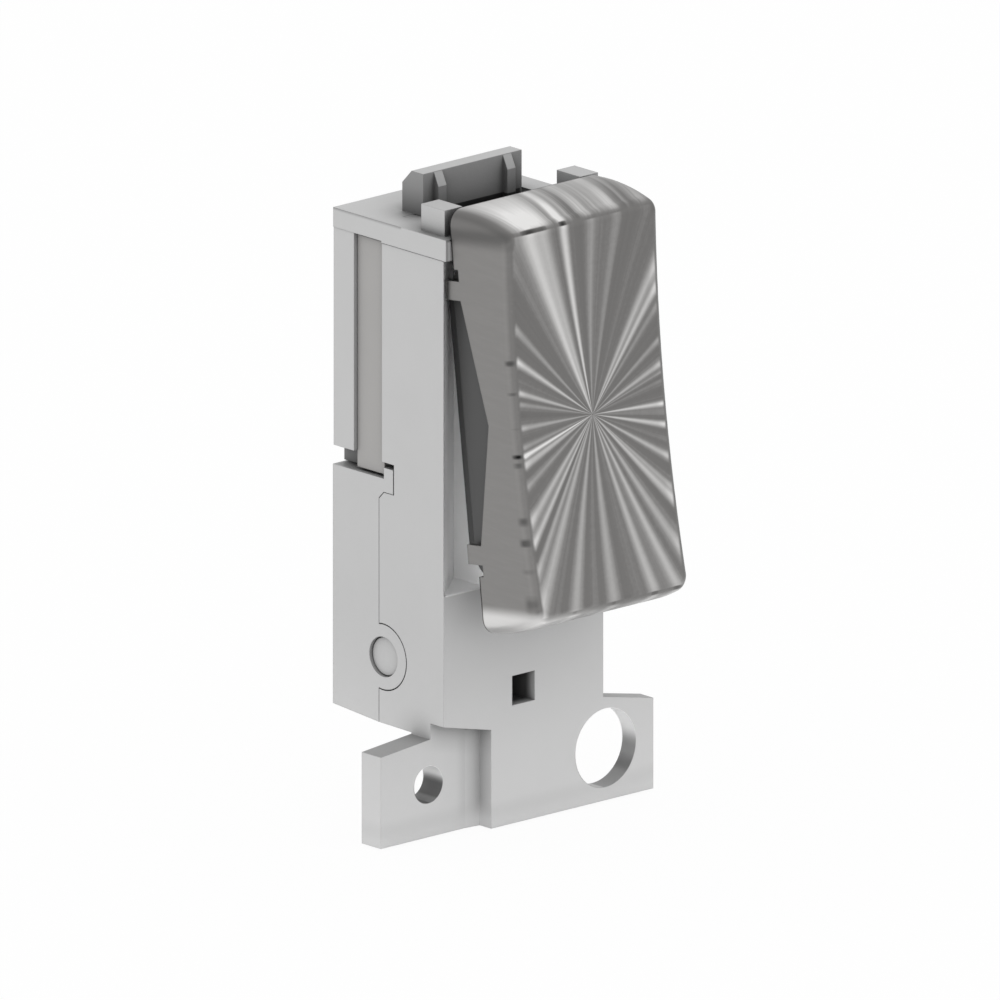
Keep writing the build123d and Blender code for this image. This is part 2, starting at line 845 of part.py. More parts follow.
# Dark carrier inside the cap: tub, flanks with a stepped rim, cheeks and plunger boss
carrier_inset = cap_thickness + carrier_gap
carrier_floor = face_depth(carrier_inset) + carrier_wall
with BuildPart() as rocker_carrier:
    side_inset = cap_thickness + carrier_side_gap
    add(rocker_block(side_inset, carrier_inset, corner_r - carrier_inset, inner_edge, -2 * relief_depth))
    for hand in (-1, 1):
        flank_x = hand * (carrier_half - carrier_wall)
        rim_start = carrier_rim - carrier_rim_step
        with BuildSketch(rocker_side(flank_x)):
            with Locations(((rim_start + carrier_floor) / 2, 0)):
                RectangleRounded(rim_start - carrier_floor, 2 * carrier_flank, carrier_rim)
        extrude(amount=hand * carrier_wall)
        with BuildSketch(rocker_side(flank_x)):
            with Locations(((carrier_rim + carrier_floor) / 2, 0)):
                RectangleRounded(carrier_rim - carrier_floor, 2 * carrier_flank, carrier_flank_r)
        extrude(amount=hand * (carrier_wall - carrier_rim_inset))
    # hollow behind the floor, between the flanks
    with BuildSketch(rocker_front(carrier_floor)):
        Rectangle(2 * (carrier_half - carrier_wall), 2 * (end_radius - carrier_wall))
    extrude(amount=carrier_floor - carrier_rim, mode=Mode.SUBTRACT)
    # cheeks that turn on the trunnions
    for hand in (-1, 1):
        with BuildSketch(rocker_side(hand * (tower_half + cheek_gap))):
            Circle(ear_r)
            with Locations((carrier_floor - seam, 0)):
                Rectangle(2 * seam, ear_root)
            make_hull()
        extrude(amount=hand * cheek_thickness)
        with BuildSketch(rocker_side(hand * (tower_half + cheek_gap))):
            Circle(trunnion_r + bearing_gap)
        extrude(amount=hand * cheek_thickness, mode=Mode.SUBTRACT)
    with BuildSketch(rocker_front(carrier_floor)):
        Circle(boss_r)
    extrude(amount=carrier_floor - boss_reach)
    with BuildSketch(rocker_front(spring_seat)):
        Circle(plunger_r + plunger_gap)
    extrude(amount=spring_seat - boss_reach, mode=Mode.SUBTRACT)

# Plunger with a domed tip
with BuildPart() as plunger:
    dome_centre = plunger_reach - plunger_tip_r
    with BuildSketch(rocker_side()):
        with BuildLine():
            Polyline(
                (dome_centre, 0),
                (plunger_tail, 0),
                (plunger_tail, plunger_r),
                (boss_reach + plunger_r, plunger_r),
                (boss_reach + 2 * plunger_r, plunger_tip_r),
                (dome_centre, plunger_tip_r),
            )
            tip_mid = plunger_tip_r * cos(radians(45))
            ThreePointArc(
                (dome_centre, plunger_tip_r),
                (dome_centre + tip_mid, tip_mid),
                (dome_centre + plunger_tip_r, 0),
            )
            Line((dome_centre + plunger_tip_r, 0), (dome_centre, 0))
        make_face()
    revolve(axis=Axis(rocker_side().origin, rocker_side().x_dir))

# Coil spring between the boss and the plunger
spring_start = spring_seat + spring_wire / 2 + seam
spring_end = plunger_tail - spring_wire / 2 - seam
spring_length = spring_end - spring_start
spring_r = plunger_r - spring_wire
coil = rocker_front(spring_end).location * Helix(spring_length / spring_turns, spring_length, spring_r)
with BuildPart() as plunger_spring:
    with BuildSketch(Plane(origin=coil @ 0, z_dir=coil % 0)):
        Circle(spring_wire / 2)
    sweep(path=coil, is_frenet=True)

pieces = {
    "front_housing": front_housing,
    "rear_top_cover": rear_top_cover,
    "rear_bottom_cover": rear_bottom_cover,
    "cover_pins": cover_pins,
    "contact_block": contact_block,
    "common_terminal": terminals[0],
    "lower_throw_terminal": terminals[1],
    "upper_throw_terminal": terminals[2],
    "terminal_screws": terminal_screws,
    "common_strip": common_strip,
    "lower_throw_strip": lower_throw_strip,
    "upper_throw_strip": upper_throw_strip,
    "lower_fixed_contact": fixed_contacts[0],
    "upper_fixed_contact": fixed_contacts[1],
    "contact_lever": contact_lever,
    "moving_contacts": moving_contacts,
    "rocker_cap": rocker_cap,
    "rocker_carrier": rocker_carrier,
    "plunger": plunger,
    "plunger_spring": plunger_spring,
}
for piece_name, piece in pieces.items():
    piece.part.label = piece_name
    export_step(piece.part, f"parts/{piece_name}.step")
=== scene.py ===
from math import cos, pi, radians, sin

import bpy
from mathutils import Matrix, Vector


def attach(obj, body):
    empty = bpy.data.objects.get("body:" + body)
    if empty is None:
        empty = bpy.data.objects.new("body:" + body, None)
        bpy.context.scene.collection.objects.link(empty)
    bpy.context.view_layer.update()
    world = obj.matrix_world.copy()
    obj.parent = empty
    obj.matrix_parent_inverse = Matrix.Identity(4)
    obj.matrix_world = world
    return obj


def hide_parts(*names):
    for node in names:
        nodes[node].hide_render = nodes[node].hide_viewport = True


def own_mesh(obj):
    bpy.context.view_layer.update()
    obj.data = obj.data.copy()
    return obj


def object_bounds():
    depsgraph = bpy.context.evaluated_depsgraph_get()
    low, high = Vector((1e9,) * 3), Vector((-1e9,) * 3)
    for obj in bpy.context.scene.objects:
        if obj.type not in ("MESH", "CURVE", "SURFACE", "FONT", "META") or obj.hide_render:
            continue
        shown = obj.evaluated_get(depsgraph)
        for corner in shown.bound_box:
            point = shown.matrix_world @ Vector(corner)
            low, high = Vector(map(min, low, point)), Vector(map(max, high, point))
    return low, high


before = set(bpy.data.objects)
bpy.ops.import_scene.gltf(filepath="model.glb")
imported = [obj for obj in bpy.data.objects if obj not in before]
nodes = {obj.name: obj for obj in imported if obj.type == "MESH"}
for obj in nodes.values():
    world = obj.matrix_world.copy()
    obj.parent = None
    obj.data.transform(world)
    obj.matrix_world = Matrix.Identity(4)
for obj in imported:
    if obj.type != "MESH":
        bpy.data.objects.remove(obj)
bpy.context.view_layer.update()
print("module loaded with", len(nodes), "pieces")


class Wire:  # a socket of a shader tree, so that shading reads as plain sums
    def __init__(self, tree, socket=None):
        self.tree = tree
        self.socket = socket

    def node(self, kind, settings, values, output=0):
        made = self.tree.nodes.new("ShaderNode" + kind)
        for name, value in settings.items():
            setattr(made, name, value)
        for name, value in values.items():
            if isinstance(value, Wire):
                self.tree.links.new(value.socket, made.inputs[name])
            else:
                made.inputs[name].default_value = value
        return Wire(self.tree, made.outputs[output])

    def math(self, operation, first, second=0.0):
        return self.node("Math", {"operation": operation}, {0: first, 1: second})

    def __add__(self, other):
        return self.math("ADD", self, other)

    def __radd__(self, other):
        return self.math("ADD", other, self)

    def __sub__(self, other):
        return self.math("SUBTRACT", self, other)

    def __rsub__(self, other):
        return self.math("SUBTRACT", other, self)

    def __mul__(self, other):
        return self.math("MULTIPLY", self, other)

    def __rmul__(self, other):
        return self.math("MULTIPLY", other, self)

    def __truediv__(self, other):
        return self.math("DIVIDE", self, other)

    def __pow__(self, other):
        return self.math("POWER", self, other)

    def __neg__(self):
        return self.math("MULTIPLY", self, -1.0)

    def __abs__(self):
        return self.math("ABSOLUTE", self)

    def least(self, other):
        return self.math("MINIMUM", self, other)

    def most(self, other):
        return self.math("MAXIMUM", self, other)

    def clamped(self):
        return self.node("Clamp", {}, {"Value": self})

    def step(self, low, high):  # 0 below low, 1 above high, smooth between
        settings = {"interpolation_type": "SMOOTHSTEP"}
        return self.node("MapRange", settings, {"Value": self, "From Min": low, "From Max": high})

    def fall(self, low, high):  # 1 below low, 0 above high
        return 1.0 - self.step(low, high)

    def inside(self, low, high, soft):  # 1 from low to high, fading out past both
        return self.step(low - soft, low) * self.fall(high, high + soft)

    def noise(self, place, scale, detail=2.0, roughness=0.5):
        values = {"Vector": place, "Scale": scale, "Detail": detail, "Roughness": roughness}
        return self.node("TexNoise", {}, values)


def newPaint(name):
    material = bpy.data.materials.new(name)
    material.use_nodes = True
    material.node_tree.nodes.clear()
    return material, Wire(material.node_tree)


def closePaint(paint, shader):
    out = paint.tree.nodes.new("ShaderNodeOutputMaterial")
    paint.tree.links.new(shader.socket, out.inputs["Surface"])


def grey(value, warm=0.0):  # a grey as it is seen on screen, from 0 to 255
    channels = []
    for shift in (warm, 0.0, -warm):
        level = (value + shift) / 255
        channels.append(level / 12.92 if level < 0.04045 else ((level + 0.055) / 1.055) ** 2.4)
    return (*channels, 1.0)


def blendColor(paint, amount, low, high):
    return paint.node("Mix", {"data_type": "RGBA"}, {0: amount, 6: low, 7: high}, 2)


def wear(nodeNames, material):
    for name in nodeNames:
        slots = nodes[name].material_slots
        if not slots:
            nodes[name].data.materials.append(material)
        for slot in slots:
            slot.material = material


def axes(paint, vector):
    parts = paint.tree.nodes.new("ShaderNodeSeparateXYZ")
    paint.tree.links.new(vector.socket, parts.inputs[0])
    return [Wire(paint.tree, socket) for socket in parts.outputs]


def objectPlace(paint):
    return paint.node("TexCoord", {}, {}, "Object")


def roundedBump(paint, height, look):
    rounded = paint.node("Bevel", {"samples": look["edgeSamples"]}, {"Radius": look["edge"]})
    values = {"Strength": look["bump"], "Distance": look["bumpDepth"], "Height": height, "Normal": rounded}
    return paint.node("Bump", {}, values)


def hollowShade(paint, distance, strength):  # 1 in the open, less in corners and hollows
    openness = paint.node("AmbientOcclusion", {"samples": 8}, {"Distance": distance}, "AO")
    return openness ** strength


# The rocker's own frame: tilted by tiltAngle about the trunnions, middleX is the middle of the module
middleX = 0.00925
rockerFrame = {"tiltAngle": radians(7.0), "pivotY": -0.00403, "pivotZ": 0.03205}


def rockerPlaces(paint, place):
    x, y, z = axes(paint, place)
    turn = rockerFrame["tiltAngle"]
    back, up = y - rockerFrame["pivotY"], z - rockerFrame["pivotZ"]
    along = up * cos(turn) + back * sin(turn)
    depth = back * cos(turn) - up * sin(turn)
    return x - middleX, along, depth


def fromRocker(across, depth, along):  # a point of the rocker's own frame, in the object's frame
    turn = rockerFrame["tiltAngle"]
    back = along * sin(turn) + depth * cos(turn)
    up = along * cos(turn) - depth * sin(turn)
    return (middleX + across, rockerFrame["pivotY"] + back, rockerFrame["pivotZ"] + up)


# Moulded plastics. A pair of numbers gives both ends of a mask's soft edge: metres for places, and 0 to 1
# for how far a face is turned upwards or sideways
topLook = {
    "above": (0.0472, 0.0475),
    "reach": 0.007,
    "strength": 0.9,
    "behind": (0.00347, 0.00367),
    "level": (0.2, 0.6),
    "hookShade": 0.42,
    "foot": (0.0473, 0.0475),
    "footTop": (0.04790, 0.04798),
    "footRear": (0.00587, 0.00597),
    "footSide": (0.0053, 0.0054),
    "crowns": (0.0479, 0.0481),
    "crownShade": 0.12,
}


def topShade(paint, place, look):  # the hook and the stop blocks stand in the rocker's lee
    x, y, z = axes(paint, place)
    facing = axes(paint, paint.node("NewGeometry", {}, {}, "Normal"))[2]
    above = z.step(*look["above"])
    openness = hollowShade(paint, look["reach"], look["strength"])
    upright = facing.fall(*look["level"])
    rear = y.step(*look["behind"]) * upright
    # the hook's front stands on the slot's rear edge, and its foot gets painted shade as dark as the slot
    foot = z.step(*look["foot"]) * z.fall(*look["footTop"]) * rear
    foot = foot * y.fall(*look["footRear"]) * abs(x - middleX).fall(*look["footSide"])
    crowns = z.step(*look["crowns"]) * (1.0 - upright)
    blocks = (1.0 - above * (1.0 - openness)) * (1.0 - crowns * look["crownShade"])
    return blocks * (1.0 - above * rear * look["hookShade"]) * (1.0 - foot)


wellLook = {
    "side": (0.0044, 0.0087),
    "depth": (-0.0020, 0.0024),
    "height": (0.0166, 0.0472),
    "soft": 0.0002,
    "litDepth": (-0.0018, -0.0016),
}
# the large hole and the small one
holeLooks = (
    {
        "middle": 0.0185,
        "wall": (0.00341, 0.00346),
        "light": (-0.0008, 0.0016),
        "dark": (-0.0006, 0.0010),
        "foot": (-0.0027, -0.0021),
        "footShade": 0.45,
        "shade": 0.5,
    },
    {
        "middle": 0.0,
        "wall": (0.00161, 0.00166),
        "light": (-0.0003, 0.0008),
        "dark": (-0.0003, 0.0006),
        "foot": (-0.0014, -0.0012),
        "footShade": 0.7,
        "shade": 0.8,
    },
)
lowerLook = {
    "glow": (-0.0050, 0.0140),
    "glowAmount": 0.25,
    "floorFree": (-0.0042, -0.0020),
    "pocketZ": 0.00695,
    "pocketHalf": (0.00128, 0.00134),
    "pocketFront": (-0.0014, -0.0004),
    "pocketRear": (0.0026, 0.0028),
    "pocketShade": 0.8,
    "grooveHeight": (0.0252, 0.0273),
    "grooveSoft": 0.0002,
    "grooveDepth": (0.0075, 0.0077),
    "grooveSide": (0.0082, 0.0084),
    "grooveFacing": (0.4, 0.6),
    "grooveShade": 0.62,
    "lugFacing": (0.3, 0.6),
    "lugSide": (0.0090, 0.0091),
    "lugHeight": (0.0100, 0.0110),
    "lugShade": 0.42,
}


def openWells(aside, y, z):  # 1 in the wells beside the tower
    soft = wellLook["soft"]
    beside = aside.inside(*wellLook["side"], soft) * y.inside(*wellLook["depth"], soft)
    return beside * z.inside(*wellLook["height"], soft)


def holeWall(x, z, hole):  # 1 on the wall of a round hole in a lug
    across = x - hole["middle"]
    return ((across * across + z * z) ** 0.5).fall(*hole["wall"])


def lightInHoles(x, z):  # daylight falls on the upper half of both holes' walls
    first, second = [holeWall(x, z, hole) * z.step(*hole["light"]) for hole in holeLooks]
    return first.most(second)


def litPlaces(paint, place, look):  # painted light: the wells, the holes' upper walls and, more weakly, the lower parts and lugs are lightened to show as pale as the sides
    x, y, z = axes(paint, place)
    wells = openWells(abs(x - middleX), y, z) * y.step(*wellLook["litDepth"])
    return wells.most(z.fall(*look["glow"]) * look["glowAmount"]).most(lightInHoles(x, z))


def lowerShade(paint, place, shade, look):
    # no corner shade in the open wells, by the floor or where light falls, more in the pocket and the holes
    x, y, z = axes(paint, place)
    aside = abs(x - middleX)
    even = (1.0 - shade) * z.step(*look["floorFree"]) * (1.0 - openWells(aside, y, z))
    shade = 1.0 - even * (1.0 - lightInHoles(x, z))
    pocket = aside.most(abs(z - look["pocketZ"])).fall(*look["pocketHalf"])
    pocket = pocket * y.step(*look["pocketFront"]) * y.fall(*look["pocketRear"])
    shade = shade * (1.0 - pocket * look["pocketShade"])
    for hole in holeLooks:
        foot = hole["footShade"] + (1.0 - hole["footShade"]) * z.step(*hole["foot"])
        wall = holeWall(x, z, hole) * z.fall(*hole["dark"]) * foot
        shade = shade * (1.0 - wall * hole["shade"])
    facing = axes(paint, paint.node("NewGeometry", {}, {}, "Normal"))
    groove = z.inside(*look["grooveHeight"], look["grooveSoft"]) * y.step(*look["grooveDepth"])
    groove = groove * aside.fall(*look["grooveSide"]) * abs(facing[0]).step(*look["grooveFacing"])
    lugTops = facing[2].step(*look["lugFacing"]) * aside.step(*look["lugSide"]) * z.fall(*look["lugHeight"])
    return shade * (1.0 - groove * look["grooveShade"]) * (1.0 - lugTops * look["lugShade"])


def rimShade(paint, place, rim):  # painted shade makes the stepped rear rim of the carrier nearly black
    depth = rockerPlaces(paint, place)[2]
    return 1.0 - depth.step(*rim["depth"]) * rim["shade"]


def mouldedPlastic(name, look):
    material, paint = newPaint(name)
    place = objectPlace(paint)
    cloud = paint.noise(place, look["cloudScale"], 3.0)
    grain = paint.noise(place, look["grainScale"], 2.0, 0.6)
    tone = (cloud * look["cloudShare"] + grain * (1.0 - look["cloudShare"])).clamped()
    plain = blendColor(paint, tone, look["dark"], look["light"])
    # painted shade: the base colour darkens toward the hollow grey in corners and hollows, and on the housing
    # the masks above paint more shade and light
    shade = hollowShade(paint, look["cornerReach"], look["cornerShade"])
    if "top" in look:
        shade = shade * topShade(paint, place, look["top"])
        shade = lowerShade(paint, place, shade, look["lower"])
        plain = blendColor(paint, litPlaces(paint, place, look["lower"]), plain, look["lit"])
    if "rim" in look:
        shade = shade * rimShade(paint, place, look["rim"])
    color = blendColor(paint, shade.clamped(), look["hollow"], plain)
    gloss = look["roughness"] + (grain - 0.5) * look["grainGloss"] + (cloud - 0.5) * look["cloudGloss"]
    skin = roundedBump(paint, grain, look)
    values = {"Base Color": color, "Roughness": gloss, "IOR": look["ior"], "Normal": skin}
    closePaint(paint, paint.node("BsdfPrincipled", {}, values))
    return material


plasticLook = {
    "dark": grey(188),
    "light": grey(195),
    "hollow": grey(12),
    "cornerReach": 0.0026,
    "cornerShade": 0.7,
    "cloudScale": 160.0,
    "cloudShare": 0.75,
    "cloudGloss": 0.06,
    "grainScale": 9000.0,
    "grainGloss": 0.12,
    "roughness": 0.52,
    "ior": 1.5,
    "bump": 0.25,
    "bumpDepth": 0.00002,
    "edge": 0.00012,
    "edgeSamples": 6,
}
housingLook = dict(plasticLook, cornerShade=0.9, lit=grey(250), top=topLook, lower=lowerLook)
housingPlastic = mouldedPlastic("housingPlastic", housingLook)
wear(("front_housing", "rear_top_cover", "rear_bottom_cover", "cover_pins"), housingPlastic)

insertLook = dict(plasticLook, dark=grey(158, 1.5), light=grey(167, 1.5), roughness=0.45)
wear(("contact_block",), mouldedPlastic("insertPlastic", insertLook))

carrierSkin = dict(plasticLook, roughness=0.42, grainGloss=0.2, cornerShade=0.3)
carrierRim = {"depth": (0.0012, 0.00125), "shade": 0.8}
carrierLook = dict(carrierSkin, dark=grey(64), light=grey(72), rim=carrierRim)
wear(("rocker_carrier",), mouldedPlastic("carrierPlastic", carrierLook))

plungerLook = dict(plasticLook, dark=grey(222), light=grey(232), roughness=0.35)
wear(("plunger",), mouldedPlastic("plungerPlastic", plungerLook))
print("plastics made")

# main rays of the sunburst brushing, whose brightness is partly painted sheen: angle from the rocker's right
# in degrees, width, brightness
mainRays = (
    (15.0, 1.2, 0.20),
    (19.5, 1.8, 0.45),
    (31.5, 2.0, 0.30),
    (44.5, 1.6, 0.22),
    (50.0, 1.8, 0.65),
    (55.0, 2.0, 0.60),
    (76.5, 2.0, 0.18),
    (86.5, 1.8, 0.28),
    (97.8, 1.6, 0.95),
    (105.5, 2.0, 0.45),
    (110.5, 3.2, 0.85),
    (132.0, 1.8, 0.30),
    (143.0, 1.7, 0.68),
    (157.5, 1.6, 0.62),
    (163.5, 1.6, 0.28),
    (178.0, 1.8, 0.38),
    (190.0, 1.8, 0.20),
    (195.0, 1.5, 1.20),
    (200.0, 2.4, 0.65),
    (210.5, 2.4, 0.25),
    (224.0, 2.4, 0.60),
    (230.5, 1.7, 0.68),
    (236.5, 1.5, 0.45),
    (242.0, 2.2, 0.50),
    (254.5, 2.4, 0.50),
    (270.0, 2.6, 0.40),
    (286.0, 2.0, 0.60),
    (294.0, 1.8, 0.50),
    (302.0, 1.8, 0.38),
    (312.5, 2.0, 0.58),
    (316.0, 1.4, 0.30),
    (327.5, 1.6, 0.50),
    (343.5, 1.8, 0.75),
    (356.0, 1.5, 0.85),
)
burstLook = {
    "halfFace": 0.0160,
    "halfWidth": 0.0078,
    "centreDrop": 0.00035,
    "centreReach": 0.00005,
    "fineScale": 9.0,
    "fineAmount": 0.6,
    "broadScale": 3.0,
    "broadAmount": 0.3,
}


def sunburst(paint, across, along, look):
    # streaks run straight back over the round ends and flanks, so the angle is taken at the face's edge
    risen = along + look["centreDrop"]
    edgeAlong = risen.least(look["halfFace"]).most(-look["halfFace"])
    edgeAcross = across.least(look["halfWidth"]).most(-look["halfWidth"])
    reach = ((edgeAcross * edgeAcross + edgeAlong * edgeAlong) ** 0.5).most(look["centreReach"])
    sideways, upwards = edgeAcross / reach, edgeAlong / reach
    ring = paint.node("CombineXYZ", {}, {0: sideways, 1: upwards, 2: 0.0})
    streaks = paint.noise(ring, look["fineScale"], 4.0, 0.6) - 0.5
    broad = paint.noise(ring, look["broadScale"], 2.0, 0.5) - 0.5
    rays = streaks * look["fineAmount"] + broad * look["broadAmount"]
    for angle, width, bright in mainRays:
        near = sideways * cos(radians(angle)) + upwards * sin(radians(angle))
        rays = rays + bright * near.most(0.0) ** (2 / radians(width) ** 2)
    return rays, streaks


capLook = {
    "black": grey(30),
    "dark": grey(92, 0.8),
    "face": grey(117, 1.2),
    "flank": grey(138, 1.4),
    "light": grey(226, 1.0),
    "darkGain": 1.6,
    "blackFrom": 0.7,
    "lightGain": 0.85,
    "roughness": 0.4,
    "toneGloss": -0.06,
    "leastGloss": -0.08,
    "hairStretch": (1.0, 0.12, 1.0),
    "hairScale": 2600.0,
    "hairTone": 0.10,
    "rayHeight": 0.5,
    "hairHeight": 0.2,
    "bump": 0.35,
    "bumpDepth": 0.00002,
    "edge": 0.00015,
    "edgeSamples": 6,
}
# places on the cap, in the rocker's own frame, and what the brushing and the painted highlights and shade do
# there
capPlaces = {
    "faceBack": -0.00615,
    "fanAlong": (0.0152, 0.0163),
    "fanAcross": (-0.0095, -0.0015),
    "fanAmount": 0.42,
    "fanShift": 0.12,
    "flank": (0.0083, 0.0086),
    "topArc": (0.0162, 0.0170),
    "lowArc": (0.0158, 0.0170),
    "lowArcSide": (0.0072, 0.0083),
    "lowArcRise": 0.0005,
    "sideEdge": (0.0080, 0.0084),
    "sideEdgeDepth": (0.0001, 0.0009),
    "endEdgeStart": (0.01612, 0.01628),
    "endEdgeEnd": (0.01644, 0.01662),
    "edgeRaysFrom": 0.34,
    "edgeRaysAmount": -2.6,
    "faceSide": (0.0078, 0.0081),
    "creaseSide": (0.0070, 0.0078),
    "creaseAmount": 0.4,
    "arcDepth": (0.0002, 0.0046),
    "arcFront": 1.3,
    "arcFade": 0.65,
    "arcLeast": -0.2,
    "arcRays": 1.1,
    "arcStreaks": 2.2,
    "arcLevel": 0.24,
    "cornerAlong": (0.0148, 0.0161),
    "cornerSide": (0.0075, 0.0083),
    "capCornerShade": -0.5,
    "footAcross": (-0.0085, 0.0010),
    "footAmount": 0.9,
    "footLevel": 0.15,
    "rimDepth": (0.0060, 0.0061),
    "rimAlong": (0.0130, 0.0131),
    "rimTone": -1.6,
}


def capTones(paint, place, at):  # the face's rays, all tones of the cap together with its painted highlights and shade, and the mask of its flanks
    across, along, depth = rockerPlaces(paint, place)
    rearward = depth - at["faceBack"]
    # over the top arc the streaks fan out to the right as they run back
    spread = across.step(*at["fanAcross"]) * at["fanAmount"] - at["fanShift"]
    fan = rearward.most(0.0) * along.step(*at["fanAlong"]) * spread
    rays, streaks = sunburst(paint, across - fan, along, burstLook)
    sideways, lengthways = abs(across), abs(along)
    flank = sideways.step(*at["flank"])
    crease = sideways.step(*at["creaseSide"])
    topArc = along.step(*at["topArc"])
    lowArc = (sideways.step(*at["lowArcSide"]) * at["lowArcRise"] - along).step(*at["lowArc"])
    sideEdge = sideways.step(*at["sideEdge"]) * rearward.fall(*at["sideEdgeDepth"])
    endEdge = lengthways.step(*at["endEdgeStart"]) * lengthways.fall(*at["endEdgeEnd"])
    onFace = (1.0 - flank) * (1.0 - sideEdge) * (1.0 - endEdge) * sideways.fall(*at["faceSide"])
    faceTone = rays * onFace * (1.0 - topArc) * (1.0 + crease * at["creaseAmount"])
    # painted highlights: over the top arc the rays and streaks are brightened, most towards the front
    arcRays = (rays.most(at["arcLeast"]) * at["arcRays"] + streaks * at["arcStreaks"]) * (1.0 - crease)
    arcFade = at["arcFront"] - rearward.step(*at["arcDepth"]) * at["arcFade"]
    arcSheen = (arcRays * arcFade + at["arcLevel"]) * topArc
    # painted reflection: on the rounded edges the bright rays are painted dark
    edgeRays = (rays - at["edgeRaysFrom"]).most(0.0) * at["edgeRaysAmount"]
    edgeReflection = edgeRays * sideEdge.most(endEdge * (1.0 - lowArc))
    # painted shade: a dark band at the top end where the cap rounds into its flanks
    capCornerShade = along.step(*at["cornerAlong"]) * sideways.step(*at["cornerSide"]) * at["capCornerShade"]
    # painted highlight on the lower round end, strongest towards the left
    footHighlight = lowArc * (across.fall(*at["footAcross"]) * at["footAmount"] + at["footLevel"])
    # painted shade: a dark line along the cap's rear edge near its ends
    rimTone = rearward.step(*at["rimDepth"]) * lengthways.step(*at["rimAlong"]) * at["rimTone"]
    return faceTone, faceTone + arcSheen + edgeReflection + capCornerShade + footHighlight + rimTone, flank


def brushedCapWithPaintedLight(name, look):
    material, paint = newPaint(name)
    place = objectPlace(paint)
    faceTone, tone, flank = capTones(paint, place, capPlaces)
    stretched = paint.node("Mapping", {}, {"Vector": place, "Scale": look["hairStretch"]})
    hair = paint.noise(stretched, look["hairScale"], 3.0, 0.6)
    tone = tone + (hair - 0.5) * look["hairTone"]
    plain = blendColor(paint, flank, look["face"], look["flank"])
    shaded = blendColor(paint, (-tone * look["darkGain"]).clamped(), plain, look["dark"])
    deep = blendColor(paint, (-tone - look["blackFrom"]).clamped(), shaded, look["black"])
    color = blendColor(paint, (tone * look["lightGain"]).clamped(), deep, look["light"])
    gloss = look["roughness"] + (tone * look["toneGloss"]).most(look["leastGloss"])
    skin = roundedBump(paint, faceTone * look["rayHeight"] + hair * look["hairHeight"], look)
    values = {"Base Color": color, "Metallic": 1.0, "Roughness": gloss, "Normal": skin}
    closePaint(paint, paint.node("BsdfPrincipled", {}, values))
    return material


wear(("rocker_cap",), brushedCapWithPaintedLight("brushedCapWithPaintedLight", capLook))
print("rocker cap brushed")


# Forms that the plain solids leave out
def extruded(name, outline, start, end, turned):  # an outline of (second, third) axis points, carried along x
    corners = [turned(x, *point) for x in (start, end) for point in outline]
    count = len(outline)
    faces = [tuple(range(count)), tuple(reversed(range(count, 2 * count)))]
    for first in range(count):
        second = (first + 1) % count
        faces.append((second, first, first + count, second + count))
    mesh = bpy.data.meshes.new(name)
    mesh.from_pydata(corners, [], faces)
    mesh.update()
    piece = bpy.data.objects.new(name, mesh)
    bpy.context.scene.collection.objects.link(piece)
    return piece


lipLook = {
    "inner": 0.00722,
    "outer": 0.00778,
    "front": 0.00115,
    "rear": 0.00186,
    "half": 0.0119,
    "corner": 0.0007,
}
# painted shade: the lips are coloured darker than the carrier, for the shade on its stepped rear rim
shadedLipPlastic = mouldedPlastic("shadedLipPlastic", dict(carrierSkin, dark=grey(40), light=grey(46)))
lipShape = (
    (lipLook["front"], -lipLook["half"]),
    (lipLook["rear"], lipLook["corner"] - lipLook["half"]),
    (lipLook["rear"], lipLook["half"] - lipLook["corner"]),
    (lipLook["front"], lipLook["half"]),
)
for side, hand in (("left", -1), ("right", 1)):
    inner, outer = hand * lipLook["inner"], hand * lipLook["outer"]
    lip = extruded("carrier_lip_" + side, lipShape, inner, outer, fromRocker)
    lip.data.materials.append(shadedLipPlastic)
    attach(lip, "rocker")

slotEnd = {
    "left": 0.00252,
    "right": 0.00368,
    "front": 0.00294,
    "rear": 0.00590,
    "low": 0.0466,
    "high": 0.04749,
}
slotEndShape = (
    (slotEnd["front"], slotEnd["low"]),
    (slotEnd["rear"], slotEnd["low"]),
    (slotEnd["rear"], slotEnd["high"]),
    (slotEnd["front"], slotEnd["high"]),
)
filler = extruded("slot_end", slotEndShape, slotEnd["left"], slotEnd["right"], lambda x, y, z: (x, y, z))
filler.data.materials.append(housingPlastic)
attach(filler, "housing")
print("carrier lips and slot end added")


def workedMetal(name, look):
    material, paint = newPaint(name)
    place = objectPlace(paint)
    stretched = paint.node("Mapping", {}, {"Vector": place, "Scale": look["drawn"]})
    lines = paint.noise(stretched, look["lineScale"], 3.0, 0.6)
    stain = paint.noise(place, look["stainScale"], 3.0)
    tone = (lines * 0.5 + stain * 0.5).clamped()
    color = blendColor(paint, tone, look["dark"], look["light"])
    gloss = look["roughness"] + (lines - 0.5) * look["lineGloss"] + (stain - 0.5) * look["stainGloss"]
    skin = roundedBump(paint, lines, look)
    values = {"Base Color": color, "Metallic": 1.0, "Roughness": gloss, "Normal": skin}
    closePaint(paint, paint.node("BsdfPrincipled", {}, values))
    return material


brassLook = {
    "dark": (0.50, 0.33, 0.11, 1.0),
    "light": (0.68, 0.49, 0.20, 1.0),
    "drawn": (1.0, 1.0, 0.1),
    "lineScale": 3000.0,
    "lineGloss": 0.14,
    "stainScale": 260.0,
    "stainGloss": 0.1,
    "roughness": 0.32,
    "bump": 0.3,
    "bumpDepth": 0.00002,
    "edge": 0.00008,
    "edgeSamples": 4,
}
brass = workedMetal("stampedBrass", brassLook)
wear(("common_terminal", "lower_throw_terminal", "upper_throw_terminal"), brass)
wear(("common_strip", "lower_throw_strip", "upper_throw_strip", "contact_lever"), brass)

